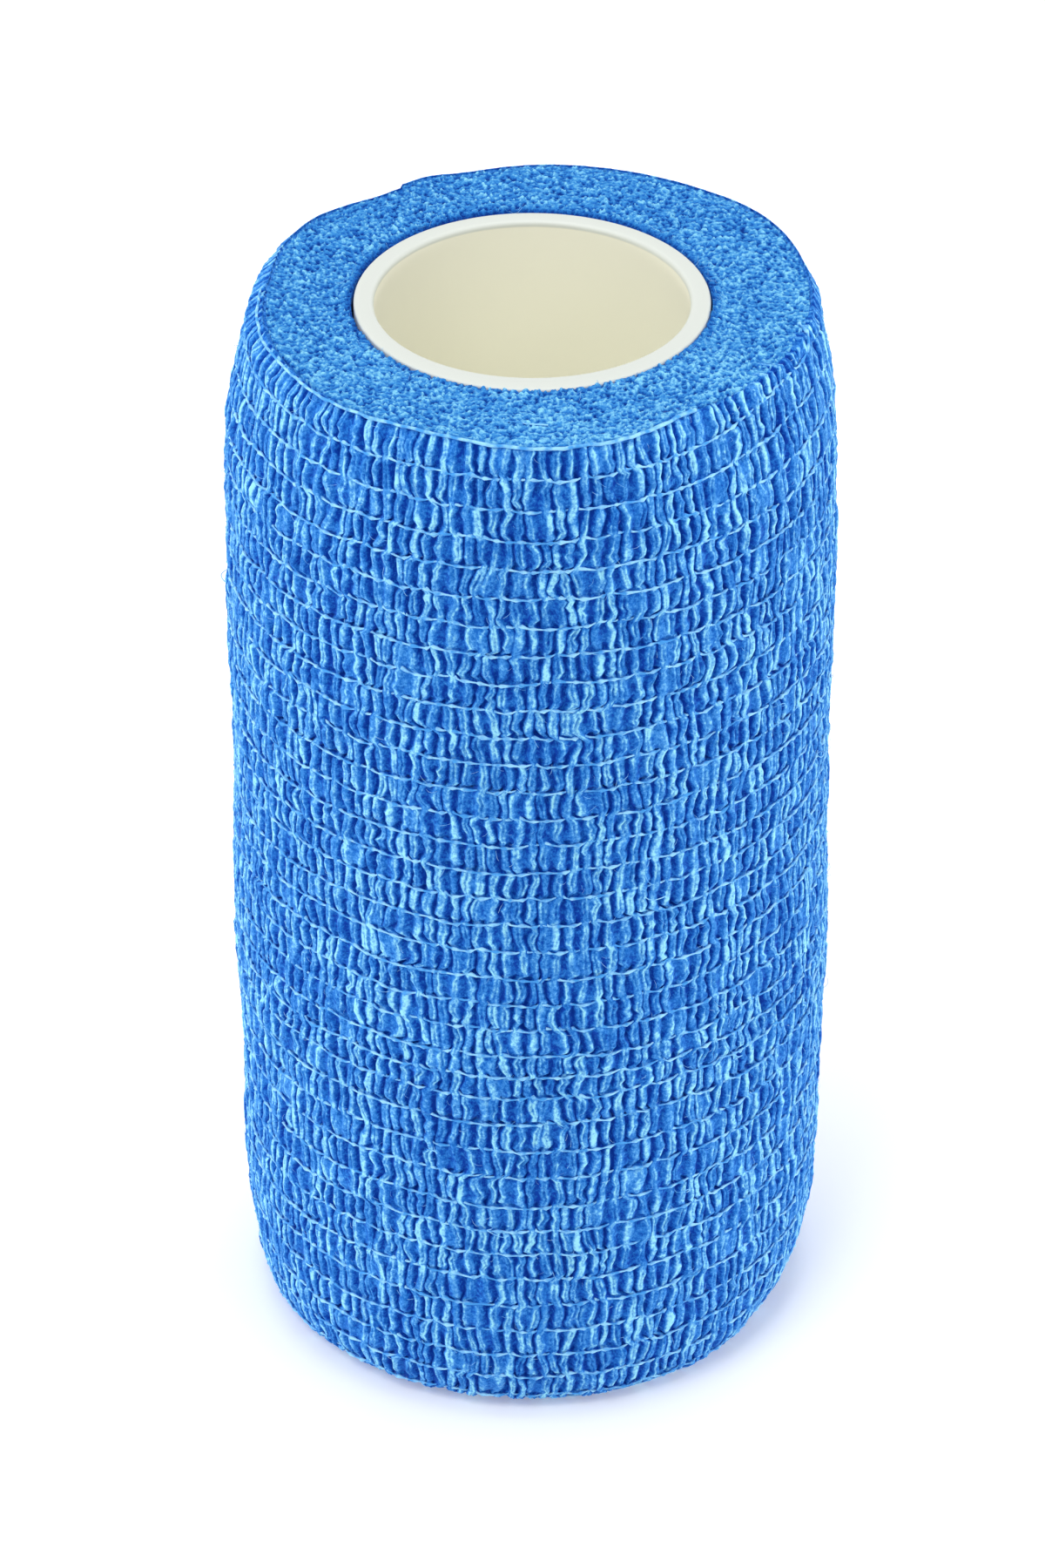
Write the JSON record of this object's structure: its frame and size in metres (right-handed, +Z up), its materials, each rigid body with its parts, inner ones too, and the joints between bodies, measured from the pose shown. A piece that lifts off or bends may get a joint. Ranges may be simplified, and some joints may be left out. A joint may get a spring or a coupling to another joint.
{
  "type": "cohesive bandage roll",
  "caption": "Roll of crinkled elastic cohesive bandage, banded by its elastic threads and wound on an open round plastic core, standing on one end.",
  "frame": {"origin": "middle of the lower end, on the surface that the roll stands on", "axes": "+Z up along the roll's axis, which is its longest way; -Y towards the viewer and +X to the right"},
  "size_m": [0.0526, 0.0532, 0.1],
  "materials": {
    "crinkled_web": "matt blue crinkled nonwoven with a light latex bond and fine pale elastic threads",
    "core_plastic": "smooth off-white extruded polyethylene with a low sheen"
  },
  "bodies": {
    "root": {"bandage": "crinkled_web", "core": "core_plastic"}
  },
  "joints": []
}
